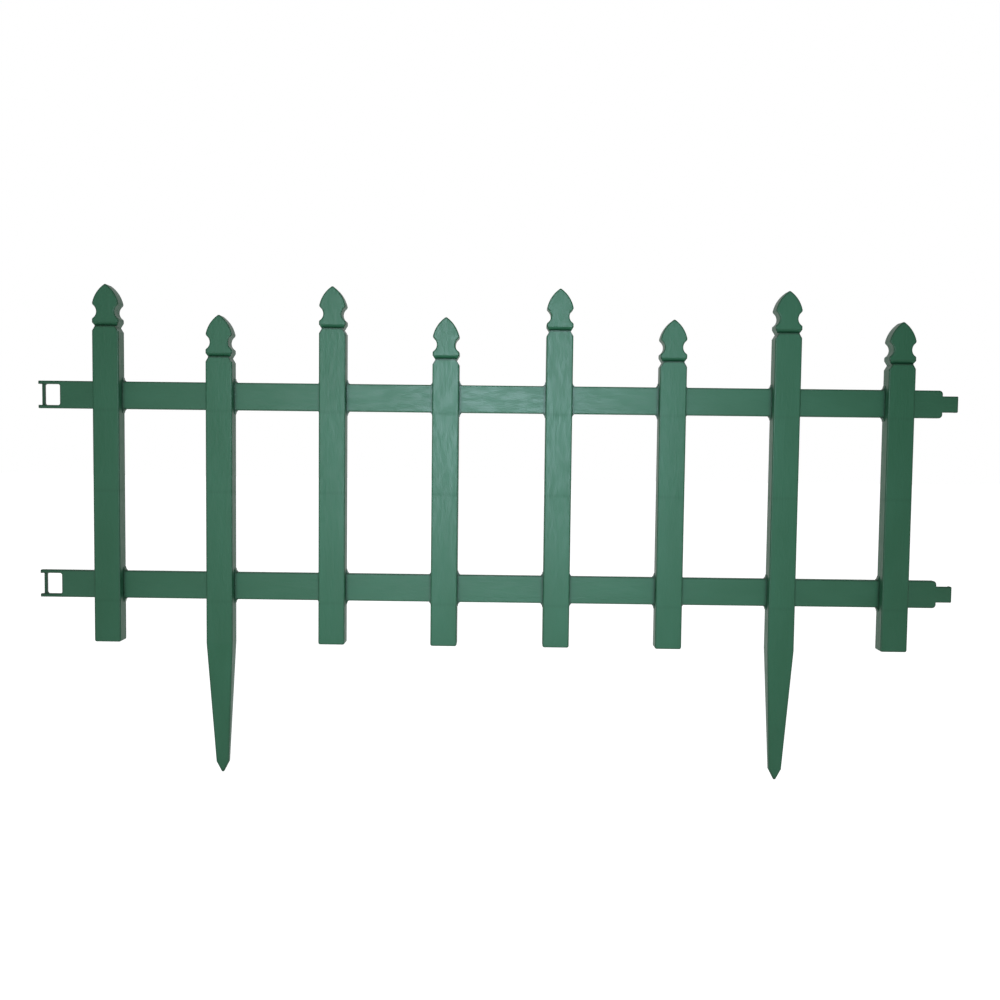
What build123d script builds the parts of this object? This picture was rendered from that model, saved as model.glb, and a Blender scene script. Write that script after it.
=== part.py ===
from build123d import *
import os

# Panel of a moulded plastic lawn-edging picket fence.
# Millimetres, +Z up. X runs along the fence and the show face looks towards -Y.
# The origin is in the middle of the first picket's foot, at ground level.

# Row of pickets, numbered from the left as seen from the front
picket_count = 8
picket_pitch = 75.0
stake_place_count = 2

# Picket: an open-backed tray with a wall all round
picket_width = 17.6
picket_depth = 10.0
side_wall = 1.8
face_wall = 2.0
foot_wall = 2.0
foot_round = 1.3
show_edge_round = 0.9
tall_height = 237.9
short_height = 218.5

# Cross ribs inside the picket
rib_thickness = 1.5
rib_setback = 1.0

# Finial: pointed arch, brim, cove and collar, with drops measured down from the tip
ogive_radius = 20.0
brim_drop = 13.6
brim_width = 17.7
brim_round = 1.9
cove_drop = 18.3
cove_width = 12.1
collar_drop = 22.8
finial_edge_round = 1.2

# Groove below the collar: a ledge on the show face and sloping shoulders at the sides
groove_top = 25.2
groove_front_slope = 2.2
groove_ledge = 0.3
groove_side_slope = 2.9
groove_shoulder = 3.0
groove_floor_height = 0.2
groove_depth = 1.8

# Pocket behind the finial
finial_face_wall = 3.4
finial_tip_wall = 5.0

# Ground stake below the foot line
stake_length = 89.5
stake_end_width = 8.6
stake_end_depth = 3.2
stake_point_length = 7.0
stake_point_width = 1.4
stake_point_depth = 2.4
stake_point_round = 0.2
stake_pocket_length = 62.0

# Rails: shallow open-backed channels that lie flush with the pickets' backs
rail_height = 18.4
rail_depth = 3.6
rail_wall = 1.5
rail_edge_round = 0.8
lower_rail_level = 38.0
upper_rail_level = 165.0

# Saddle fillets of the pickets above and below each rail
saddle_reach = 1.4
saddle_rise = 2.6
saddle_lip = 0.3

# Loop at the left end of a rail, measured from the first picket's centre
loop_web_end = 33.3
loop_opening = 10.7
loop_flange = 2.2
loop_corner_round = 1.4
loop_bar = 1.8
loop_tip_overrun = 1.7

# Hook at the right end of a rail, measured from the last picket's centre
shoulder_reach = 29.7
shoulder_round = 2.4
tongue_length = 10.2
tongue_height = 10.8
tongue_end_round = 0.6
hook_bar_clearance = 0.4

# Planes and places that follow from the sizes above
back_y = picket_depth / 2
rail_front_y = back_y - rail_depth
back_plane = Plane.XZ.offset(-back_y)
rail_levels = (lower_rail_level, upper_rail_level)
last_picket_x = (picket_count - 1) * picket_pitch
stake_end_level = stake_point_length - stake_length
groove_height = groove_side_slope + groove_floor_height + groove_shoulder


def picket_face(height):
    """Front view of a picket from its foot line to the tip of its finial."""
    half = picket_width / 2
    cove_half = cove_width / 2
    cove_z = height - cove_drop
    collar_point = (half, height - collar_drop)
    brim_point = (brim_width / 2, height - brim_drop)
    with BuildSketch(back_plane) as face:
        with BuildLine():
            Polyline((0, 0), (half, 0), collar_point)
            TangentArc((cove_half, cove_z), collar_point, tangent=(0, -1))
            TangentArc((cove_half, cove_z), brim_point, tangent=(0, 1))
            RadiusArc(brim_point, (0, height), -ogive_radius)
            mirror(about=Plane.YZ)
        make_face()
        foot, collar, cove, brim, tip = face.vertices().group_by(Axis.Y)
        fillet(brim, brim_round)
        foot, collar, *flanks, tip = face.vertices().group_by(Axis.Y)
        fillet(collar + tip, finial_edge_round)
    return face.sketch


def finial_pocket_face(height, foot):
    """Front view of the pointed pocket behind a finial."""
    half = cove_width / 2 - side_wall
    spring = height - brim_drop
    with BuildSketch(back_plane) as face:
        with BuildLine():
            Polyline((0, foot), (half, foot), (half, spring))
            TangentArc((half, spring), (0, height - finial_tip_wall), tangent=(0, 1))
            mirror(about=Plane.YZ)
        make_face()
    return face.sketch


def stake_section(level, width, depth, corner_round):
    """Level section of a stake: flat at the back, with its two show corners rounded."""
    with BuildSketch(Plane.XY.offset(level)) as section:
        with Locations((0, back_y - depth / 2)):
            Rectangle(width, depth)
        show_corners = section.vertices().group_by(Axis.Y)[0]
        fillet(show_corners, corner_round)
    return section.sketch


def groove_section(plane, surface, height, upper_slope, lower_slope):
    """Section of the finial's groove, cut into the surface at this distance from the axis."""
    floor = surface - groove_depth if surface > 0 else surface + groove_depth
    top = height - groove_top
    floor_top = top - upper_slope
    floor_foot = floor_top - groove_floor_height
    with BuildSketch(plane) as section:
        with BuildLine():
            Polyline(
                (surface, top),
                (floor, floor_top),
                (floor, floor_foot),
                (surface, floor_foot - lower_slope),
                close=True,
            )
        make_face()
    return section.sketch


def saddle_face(level):
    """Front view of a picket's side walls where they widen above and below a rail."""
    round_x = picket_width / 2 + saddle_reach + saddle_lip
    round_z = rail_height / 2 + saddle_rise + saddle_lip
    with BuildSketch(back_plane) as face:
        with Locations((0, level)):
            Rectangle(picket_width + 2 * saddle_reach, rail_height + 2 * saddle_rise)
            with GridLocations(2 * round_x, 2 * round_z, 2, 2):
                Ellipse(saddle_reach, saddle_rise, mode=Mode.SUBTRACT)
    return face.sketch


def rail_section(x, level, depth, height):
    """Section of a rail or of its tongue at a place along the fence, with its two show edges rounded."""
    with BuildSketch(Plane.YZ.offset(x)) as section:
        with Locations((rail_front_y + depth / 2, level)):
            Rectangle(depth, height)
        show_corners = section.vertices().group_by(Axis.X)[0]
        fillet(show_corners, rail_edge_round)
    return section.sketch


def make_pocket(height, staked):
    """Space inside a picket, open to the back, with the cross ribs left standing."""
    shoulder = height - groove_top - groove_height
    pocket_foot = 0 if staked else foot_wall
    pocket_top = shoulder - rib_thickness
    rib_drop = (rail_height + rib_thickness) / 2
    rib_levels = [(lower_rail_level + upper_rail_level) / 2]
    for level in rail_levels:
        rib_levels += [level - rib_drop, level + rib_drop]
    with BuildPart() as pocket:
        with BuildSketch(back_plane):
            with Locations((0, (pocket_foot + pocket_top) / 2)):
                Rectangle(picket_width - 2 * side_wall, pocket_top - pocket_foot)
        extrude(amount=picket_depth - face_wall)
        with BuildSketch(back_plane.offset(rib_setback)):
            with Locations(*[(0, level) for level in rib_levels]):
                Rectangle(picket_width, rib_thickness)
        extrude(amount=picket_depth, mode=Mode.SUBTRACT)
        extrude(finial_pocket_face(height, shoulder), amount=picket_depth - finial_face_wall)
    return pocket.part


def make_stake():
    """Ground stake that narrows and leans back to a flat point, hollow in its upper part."""
    narrowing = stake_pocket_length / -stake_end_level
    pocket_width = picket_width - 2 * side_wall
    pocket_end_width = pocket_width - narrowing * (picket_width - stake_end_width)
    pocket_depth = picket_depth - face_wall
    pocket_end_depth = pocket_depth - narrowing * (picket_depth - stake_end_depth)
    with BuildPart() as stake:
        foot = stake_section(0, picket_width, picket_depth, show_edge_round)
        end = stake_section(stake_end_level, stake_end_width, stake_end_depth, show_edge_round)
        point = stake_section(-stake_length, stake_point_width, stake_point_depth, stake_point_round)
        loft([foot, end], ruled=True)
        loft([end, point], ruled=True)
        pocket_mouth = stake_section(0, pocket_width, pocket_depth, stake_point_round)
        pocket_end = stake_section(
            -stake_pocket_length, pocket_end_width, pocket_end_depth, stake_point_round
        )
        loft([pocket_mouth, pocket_end], ruled=True, mode=Mode.SUBTRACT)
    return stake.part


def make_picket(x, height, staked):
    """One picket with its finial, ribs, rail slots and, on some, a ground stake."""
    half = picket_width / 2
    pocket = make_pocket(height, staked)
    with BuildPart() as picket:
        extrude(picket_face(height), amount=picket_depth)
        show_edges = picket.edges().group_by(Axis.Y)[0]
        if staked:
            fillet(show_edges - show_edges.group_by(Axis.Z)[0], show_edge_round)
        else:
            foot_corners = picket.edges().filter_by(Axis.Y).group_by(Axis.Z)[0]
            fillet(foot_corners, foot_round)
            fillet(picket.edges().group_by(Axis.Y)[0], show_edge_round)
        # Groove across the front and round both sides of the finial
        front_groove = groove_section(Plane.YZ, -back_y, height, groove_front_slope, groove_ledge)
        extrude(front_groove, amount=half, both=True, mode=Mode.SUBTRACT)
        for surface in (-half, half):
            side_groove = groove_section(back_plane, surface, height, groove_side_slope, groove_shoulder)
            extrude(side_groove, amount=picket_depth, mode=Mode.SUBTRACT)
        # Saddles round the rails, the hollow back, and slots for the rails to lie in
        for level in rail_levels:
            extrude(saddle_face(level), amount=rail_depth)
        add(pocket, mode=Mode.SUBTRACT)
        for level in rail_levels:
            slot = rail_section(0, level, rail_depth, rail_height)
            extrude(slot, amount=picket_width, both=True, mode=Mode.SUBTRACT)
        if staked:
            add(make_stake())
    return picket.part.moved(Location((x, 0, 0)))


def make_rail(level):
    """One rail with the loop at its left end and the hook at its right end."""
    web_left = -loop_web_end
    opening_left = web_left - loop_opening
    bar_left = opening_left - loop_bar
    tip_left = bar_left - loop_tip_overrun
    shoulder_x = last_picket_x + shoulder_reach
    tongue_x = shoulder_x + tongue_length
    channel_height = rail_height - 2 * rail_wall
    opening_height = rail_height - 2 * loop_flange
    bar_front = rail_front_y + rail_wall + hook_bar_clearance
    with BuildPart() as rail:
        # Bar of the rail's whole length, with its right corners and its show edges rounded
        with BuildSketch(back_plane) as outline:
            with Locations(((tip_left + shoulder_x) / 2, level)):
                Rectangle(shoulder_x - tip_left, rail_height)
            fillet(outline.vertices().group_by(Axis.X)[-1], shoulder_round)
        extrude(amount=rail_depth)
        show_edges = rail.edges().group_by(Axis.Y)[0]
        fillet(show_edges - show_edges.group_by(Axis.X)[0], rail_edge_round)
        # Channel hollowed out from the back, closed at both ends
        with BuildSketch(back_plane):
            with Locations(((web_left + shoulder_x) / 2, level)):
                Rectangle(shoulder_x - web_left - 2 * rail_wall, channel_height)
        extrude(amount=rail_depth - rail_wall, mode=Mode.SUBTRACT)
        # Loop: an opening with rounded edges between the flanges, and a slim bar beyond it
        with BuildSketch(back_plane):
            with Locations((opening_left + loop_opening / 2, level)):
                RectangleRounded(loop_opening, opening_height, loop_corner_round)
        extrude(amount=rail_depth, mode=Mode.SUBTRACT)
        show_edges = rail.edges().group_by(Axis.Y)[0]
        opening_edges = show_edges.filter_by_position(Axis.X, bar_left, web_left + rail_wall)
        fillet(opening_edges, rail_edge_round)
        with BuildSketch(back_plane):
            with Locations((tip_left + loop_tip_overrun / 2, level)):
                Rectangle(loop_tip_overrun, opening_height)
        extrude(amount=rail_depth, mode=Mode.SUBTRACT)
        with BuildSketch(Plane.XZ.offset(-rail_front_y)):
            with Locations((opening_left - loop_bar / 2 + loop_corner_round / 2, level)):
                Rectangle(loop_bar + loop_corner_round, opening_height)
        extrude(amount=rail_front_y - bar_front, mode=Mode.SUBTRACT)
        # Hook: a tongue that starts inside the shoulder, with a lip turned towards the back
        tongue = rail_section(shoulder_x - shoulder_round, level, rail_wall, tongue_height)
        extrude(tongue, amount=shoulder_round + tongue_length)
        with BuildSketch(Plane.XZ.offset(-rail_front_y - rail_wall)):
            with Locations((tongue_x - rail_wall / 2, level)):
                Rectangle(rail_wall, tongue_height)
        extrude(amount=rail_wall - rail_depth)
        tongue_end = rail.faces().sort_by(Axis.X)[-1].edges().group_by(Axis.Y)[0]
        fillet(tongue_end, tongue_end_round)
    return rail.part


os.makedirs("parts", exist_ok=True)

for number in range(1, picket_count + 1):
    tall = number % 2 == 1
    staked = stake_place_count in (number, picket_count + 1 - number)
    picket = make_picket(
        x=(number - 1) * picket_pitch,
        height=tall_height if tall else short_height,
        staked=staked,
    )
    size_word = "tall" if tall else "short"
    stake_word = "stake_" if staked else ""
    picket.label = f"{size_word}_{stake_word}picket_{number}"
    export_step(picket, f"parts/{picket.label}.step")

for place, level in (("lower", lower_rail_level), ("upper", upper_rail_level)):
    rail = make_rail(level)
    rail.label = f"{place}_rail"
    export_step(rail, f"parts/{rail.label}.step")
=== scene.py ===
import math

import bpy
from mathutils import Matrix, Vector


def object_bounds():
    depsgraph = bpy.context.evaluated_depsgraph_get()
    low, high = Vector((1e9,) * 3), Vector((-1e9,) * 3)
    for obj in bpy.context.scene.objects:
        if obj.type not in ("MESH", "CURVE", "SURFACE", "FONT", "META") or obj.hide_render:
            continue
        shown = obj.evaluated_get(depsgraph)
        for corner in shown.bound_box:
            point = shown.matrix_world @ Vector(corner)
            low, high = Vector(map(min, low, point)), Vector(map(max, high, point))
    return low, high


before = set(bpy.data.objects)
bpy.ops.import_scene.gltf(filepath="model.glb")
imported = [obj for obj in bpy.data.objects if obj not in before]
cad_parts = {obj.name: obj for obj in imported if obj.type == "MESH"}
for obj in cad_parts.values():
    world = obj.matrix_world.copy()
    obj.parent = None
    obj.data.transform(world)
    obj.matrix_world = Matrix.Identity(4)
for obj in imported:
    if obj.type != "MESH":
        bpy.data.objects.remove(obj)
cad_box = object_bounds()

# Sizes in metres and angles in radians, in the frame of the CAD model
IMAGE_PIXELS = 1000.0

# Camera, found by fitting picket and rail edges to the photograph
CAMERA_PLACE = Vector((0.2675, -0.680, 0.1345))
CAMERA_TURN = 0.0085
CAMERA_PITCH = 0.0535
CAMERA_ROLL = 0.0117
FOCAL_PIXELS = 1020.0
SENSOR_WIDTH = 36.0
NEAREST_SEEN = 0.01

WHITE = (1.0, 1.0, 1.0, 1.0)

# Floor just under the stake points
FLOOR_GAP = 0.0005
FLOOR_REACH = 6.0
FLOOR_COLOUR = (0.70, 0.70, 0.70, 1.0)
FLOOR_GLOW = 0.85

# Room: a white backdrop behind the fence, dim elsewhere
BACKDROP_LIGHT = 1.0
ROOM_LIGHT = 0.22
BACKDROP_START = 0.35
BACKDROP_FULL = 0.65

# Lamps: a cool narrow one just over the lens and a wide soft one further back, higher and to the left
LAMP_AIM = Vector((0.258, 0.0, 0.140))
LENS_LAMP_PLACE = Vector((0.258, -0.800, 0.199))
LENS_LAMP_SIZE = 0.12
LENS_LAMP_SPREAD = 1.02
LENS_LAMP_POWER = 0.635
LENS_LAMP_COLOUR = (0.66, 0.845, 1.0)
KEY_LAMP_PLACE = Vector((0.09, -1.40, 0.33))
KEY_LAMP_SIZE = 0.35
KEY_LAMP_SPREAD = math.pi
KEY_LAMP_POWER = 4.2
KEY_LAMP_COLOUR = (1.0, 1.0, 1.0)

# Plastic: colours, gloss and the turn that lays the grain along each kind of piece
GREEN = (0.018, 0.103, 0.048, 1.0)
PALE_GREEN = (0.023, 0.115, 0.057, 1.0)
PICKET_SPECULAR = 0.34
RAIL_SPECULAR = 0.38
GLOSSY_ROUGHNESS = 0.44
DULL_ROUGHNESS = 0.512
GRAIN_RELIEF = 0.00011
PICKET_GRAIN_TURN = (0.0, 0.0, 0.0)
RAIL_GRAIN_TURN = (0.0, math.pi / 2, 0.0)

# Grain: a broad wavy figure, fine fibres that add to its relief, and slow blotches of colour
FIGURE_STRETCH = (1.0, 1.0, 0.26)
FIGURE_SCALE = 430.0
FIGURE_DETAIL = 3.0
FIGURE_ROUGHNESS = 0.55
FIGURE_DISTORTION = 0.5
FIGURE_RANGE = (0.35, 0.65)
FIBRE_STRETCH = (1.0, 1.0, 0.05)
FIBRE_SCALE = 1000.0
FIBRE_DETAIL = 1.0
FIBRE_SHARE = 0.15
BLOTCH_STRETCH = (1.0, 1.0, 0.35)
BLOTCH_SCALE = 60.0
BLOTCH_DETAIL = 2.0
BLOTCH_RANGE = (0.35, 0.70)

# Painted shade: a dark green mixed into the colour in recesses, between parts and along thin rims, where
# shade falls
PAINTED_SHADE_GREEN = (0.004, 0.036, 0.014, 1.0)
RECESS_REACH = 0.0035
RECESS_RANGE = (0.40, 0.92)
RIM_REACH = 0.0014
RIM_RANGE = (0.60, 1.0)
RIM_LEAST = 0.10
OPENNESS_SAMPLES = 8

# Sink lines on a picket's face over the middle rib and the rib under each rail: rougher there, and darkened
# with painted shade
SINK_LEVELS = (0.02805, 0.1015, 0.15505)
SINK_HALF_WIDTH = 0.0019
SINK_DULLING = 0.040
SINK_PAINTED_SHADE = 0.10


def new_group(name, inputs, outputs):
    """Makes an empty shader node group with named inputs and outputs."""
    group = bpy.data.node_groups.new(name, "ShaderNodeTree")
    for label, kind in inputs:
        group.interface.new_socket(label, in_out="INPUT", socket_type=kind)
    for label, kind in outputs:
        group.interface.new_socket(label, in_out="OUTPUT", socket_type=kind)
    start = group.nodes.new("NodeGroupInput")
    end = group.nodes.new("NodeGroupOutput")
    return group, start, end


def add_noise(tree, vector, scale, detail, roughness=0.5, distortion=0.0):
    """Adds a noise texture that reads the given vector socket."""
    noise = tree.nodes.new("ShaderNodeTexNoise")
    noise.inputs["Scale"].default_value = scale
    noise.inputs["Detail"].default_value = detail
    noise.inputs["Roughness"].default_value = roughness
    noise.inputs["Distortion"].default_value = distortion
    tree.links.new(vector, noise.inputs["Vector"])
    return noise.outputs["Fac"]


def add_stretch(tree, vector, stretch):
    """Adds a mapping that scales the given vector socket."""
    mapping = tree.nodes.new("ShaderNodeMapping")
    mapping.inputs["Scale"].default_value = stretch
    tree.links.new(vector, mapping.inputs["Vector"])
    return mapping.outputs["Vector"]


def add_math(tree, operation, *values):
    """Adds a math node on sockets or numbers."""
    node = tree.nodes.new("ShaderNodeMath")
    node.operation = operation
    for socket, value in zip(node.inputs, values):
        if isinstance(value, (int, float)):
            socket.default_value = value
        else:
            tree.links.new(value, socket)
    return node.outputs["Value"]


def add_map(tree, value, source, target):
    """Adds a clamped map from one range to another."""
    node = tree.nodes.new("ShaderNodeMapRange")
    node.interpolation_type = "SMOOTHSTEP"
    for label, number in zip(("From Min", "From Max", "To Min", "To Max"), source + target):
        node.inputs[label].default_value = number
    tree.links.new(value, node.inputs["Value"])
    return node.outputs["Result"]


def make_grain_group():
    """Moulded wood grain that runs along Z: its figure, a relief height and a slow blotch mask."""
    group, start, end = new_group(
        "moulded wood grain",
        [("Place", "NodeSocketVector")],
        [("Figure", "NodeSocketFloat"), ("Height", "NodeSocketFloat"), ("Blotch", "NodeSocketFloat")],
    )
    place = start.outputs["Place"]
    along_figure = add_stretch(group, place, FIGURE_STRETCH)
    figure = add_noise(
        group, along_figure, FIGURE_SCALE, FIGURE_DETAIL, FIGURE_ROUGHNESS, FIGURE_DISTORTION
    )
    fibres = add_noise(group, add_stretch(group, place, FIBRE_STRETCH), FIBRE_SCALE, FIBRE_DETAIL)
    height = add_math(group, "MULTIPLY_ADD", fibres, FIBRE_SHARE, figure)
    blotch = add_noise(group, add_stretch(group, place, BLOTCH_STRETCH), BLOTCH_SCALE, BLOTCH_DETAIL)
    group.links.new(figure, end.inputs["Figure"])
    group.links.new(height, end.inputs["Height"])
    group.links.new(blotch, end.inputs["Blotch"])
    return group


def make_sink_group():
    """Soft lines across a picket's face, where the plastic sank over a rib."""
    group, start, end = new_group(
        "rib sink lines",
        [("Place", "NodeSocketVector")],
        [("Dullness", "NodeSocketFloat")],
    )
    split = group.nodes.new("ShaderNodeSeparateXYZ")
    group.links.new(start.outputs["Place"], split.inputs["Vector"])
    dullness = 0.0
    for level in SINK_LEVELS:
        away = add_math(group, "ABSOLUTE", add_math(group, "SUBTRACT", split.outputs["Z"], level))
        line = add_map(group, away, (0.0, SINK_HALF_WIDTH), (1.0, 0.0))
        dullness = add_math(group, "MAXIMUM", line, dullness)
    group.links.new(dullness, end.inputs["Dullness"])
    return group


def add_group(tree, group, links):
    """Adds a group node and links its inputs by name."""
    node = tree.nodes.new("ShaderNodeGroup")
    node.node_tree = group
    for label, socket in links.items():
        tree.links.new(socket, node.inputs[label])
    return node


def add_openness(tree, reach, inside):
    """Adds a measure of how open the surface is: to the outside, or to the plastic's own inside."""
    node = tree.nodes.new("ShaderNodeAmbientOcclusion")
    node.inputs["Distance"].default_value = reach
    node.inside = inside
    node.samples = OPENNESS_SAMPLES
    return node.outputs["AO"]


def make_plastic(name, specular, grain, grain_turn, sink=None):
    """Green satin plastic with moulded grain, turned to run along its piece, with painted shade darkening the
    colour in recesses and along thin rims, and with sink lines if given.
    """
    material = bpy.data.materials.new(name)
    material.use_nodes = True
    tree = material.node_tree
    shader = tree.nodes["Principled BSDF"]
    shader.inputs["Specular IOR Level"].default_value = specular
    place = tree.nodes.new("ShaderNodeTexCoord").outputs["Object"]
    turn = tree.nodes.new("ShaderNodeMapping")
    turn.inputs["Rotation"].default_value = grain_turn
    tree.links.new(place, turn.inputs["Vector"])
    pattern = add_group(tree, grain, {"Place": turn.outputs["Vector"]})
    gloss = add_map(tree, pattern.outputs["Figure"], FIGURE_RANGE, (DULL_ROUGHNESS, GLOSSY_ROUGHNESS))
    # Painted shade: the colour darkens where nearby parts close the surface in, and along thin rims and edges
    recess = add_map(tree, add_openness(tree, RECESS_REACH, False), RECESS_RANGE, (0.0, 1.0))
    rim = add_map(tree, add_openness(tree, RIM_REACH, True), RIM_RANGE, (RIM_LEAST, 1.0))
    unshaded = add_math(tree, "MULTIPLY", recess, rim)
    if sink:
        lines = add_group(tree, sink, {"Place": place}).outputs["Dullness"]
        gloss = add_math(tree, "MULTIPLY_ADD", lines, SINK_DULLING, gloss)
        # Painted shade: the sink lines also darken the colour
        sink_unshaded = add_math(tree, "MULTIPLY_ADD", lines, -SINK_PAINTED_SHADE, 1.0)
        unshaded = add_math(tree, "MULTIPLY", unshaded, sink_unshaded)
    tree.links.new(gloss, shader.inputs["Roughness"])
    tint = tree.nodes.new("ShaderNodeValToRGB")
    for element, position, colour in zip(tint.color_ramp.elements, BLOTCH_RANGE, (GREEN, PALE_GREEN)):
        element.position = position
        element.color = colour
    tree.links.new(pattern.outputs["Blotch"], tint.inputs["Fac"])
    painted_shade = tree.nodes.new("ShaderNodeMixRGB")
    painted_shade.inputs["Color1"].default_value = PAINTED_SHADE_GREEN
    tree.links.new(unshaded, painted_shade.inputs["Fac"])
    tree.links.new(tint.outputs["Color"], painted_shade.inputs["Color2"])
    tree.links.new(painted_shade.outputs["Color"], shader.inputs["Base Color"])
    relief = tree.nodes.new("ShaderNodeBump")
    relief.inputs["Strength"].default_value = 1.0
    relief.inputs["Distance"].default_value = GRAIN_RELIEF
    tree.links.new(pattern.outputs["Height"], relief.inputs["Height"])
    tree.links.new(relief.outputs["Normal"], shader.inputs["Normal"])
    return material


def make_floor():
    """Pale floor just under the stake points that reads white from the lens."""
    level = cad_box[0][2] - FLOOR_GAP
    middle = (cad_box[0][0] + cad_box[1][0]) / 2
    corners = [
        (middle - FLOOR_REACH, -FLOOR_REACH, level),
        (middle + FLOOR_REACH, -FLOOR_REACH, level),
        (middle + FLOOR_REACH, FLOOR_REACH, level),
        (middle - FLOOR_REACH, FLOOR_REACH, level),
    ]
    mesh = bpy.data.meshes.new("pale_floor")
    mesh.from_pydata(corners, [], [(0, 1, 2, 3)])
    floor = bpy.data.objects.new("pale_floor", mesh)
    bpy.context.scene.collection.objects.link(floor)
    material = bpy.data.materials.new("pale floor")
    material.use_nodes = True
    tree = material.node_tree
    shader = tree.nodes["Principled BSDF"]
    shader.inputs["Base Color"].default_value = FLOOR_COLOUR
    shader.inputs["Roughness"].default_value = 1.0
    shader.inputs["Specular IOR Level"].default_value = 0.0
    shader.inputs["Emission Color"].default_value = WHITE
    path = tree.nodes.new("ShaderNodeLightPath")
    seen = add_math(tree, "MAXIMUM", path.outputs["Is Camera Ray"], path.outputs["Is Glossy Ray"])
    tree.links.new(add_math(tree, "MULTIPLY", seen, FLOOR_GLOW), shader.inputs["Emission Strength"])
    mesh.materials.append(material)


def make_world():
    """Room that is white behind the fence and dim elsewhere, and white wherever the lens sees it."""
    world = bpy.data.worlds.new("white studio")
    world.use_nodes = True
    bpy.context.scene.world = world
    tree = world.node_tree
    background = tree.nodes["Background"]
    background.inputs["Color"].default_value = WHITE
    split = tree.nodes.new("ShaderNodeSeparateXYZ")
    tree.links.new(tree.nodes.new("ShaderNodeTexCoord").outputs["Generated"], split.inputs["Vector"])
    room = add_map(
        tree, split.outputs["Y"], (BACKDROP_START, BACKDROP_FULL), (ROOM_LIGHT, BACKDROP_LIGHT)
    )
    path = tree.nodes.new("ShaderNodeLightPath")
    seen = add_math(tree, "MAXIMUM", path.outputs["Is Camera Ray"], path.outputs["Is Transmission Ray"])
    tree.links.new(add_math(tree, "MAXIMUM", room, seen), background.inputs["Strength"])


def make_area_light(name, place, size, spread, power, colour):
    """Square soft box at a place, turned towards the middle of the fence."""
    lamp = bpy.data.lights.new(name, "AREA")
    lamp.size = size
    lamp.spread = spread
    lamp.energy = power
    lamp.color = colour
    light = bpy.data.objects.new(name, lamp)
    light.location = place
    light.rotation_euler = (LAMP_AIM - place).to_track_quat("-Z", "Y").to_euler()
    light.visible_camera = False
    bpy.context.scene.collection.objects.link(light)


def make_camera():
    """Camera at the photograph's viewing angle."""
    data = bpy.data.cameras.new("photo_camera")
    data.sensor_width = SENSOR_WIDTH
    data.lens = SENSOR_WIDTH * FOCAL_PIXELS / IMAGE_PIXELS
    data.clip_start = NEAREST_SEEN
    camera = bpy.data.objects.new("photo_camera", data)
    turn = Matrix.Rotation(CAMERA_TURN, 4, "Z")
    pitch = Matrix.Rotation(math.pi / 2 - CAMERA_PITCH, 4, "X")
    roll = Matrix.Rotation(CAMERA_ROLL, 4, "Z")
    camera.matrix_world = Matrix.Translation(CAMERA_PLACE) @ turn @ pitch @ roll
    bpy.context.scene.collection.objects.link(camera)
    bpy.context.scene.camera = camera


grain = make_grain_group()
picket_plastic = make_plastic("picket plastic", PICKET_SPECULAR, grain, PICKET_GRAIN_TURN, make_sink_group())
rail_plastic = make_plastic("rail plastic", RAIL_SPECULAR, grain, RAIL_GRAIN_TURN)
for name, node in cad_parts.items():
    node.data.materials.clear()
    node.data.materials.append(rail_plastic if name.endswith("rail") else picket_plastic)

make_floor()
make_world()
make_area_light(
    "lens_lamp", LENS_LAMP_PLACE, LENS_LAMP_SIZE, LENS_LAMP_SPREAD, LENS_LAMP_POWER, LENS_LAMP_COLOUR
)
make_area_light("key_lamp", KEY_LAMP_PLACE, KEY_LAMP_SIZE, KEY_LAMP_SPREAD, KEY_LAMP_POWER, KEY_LAMP_COLOUR)
make_camera()
bpy.context.scene.view_settings.view_transform = "Standard"
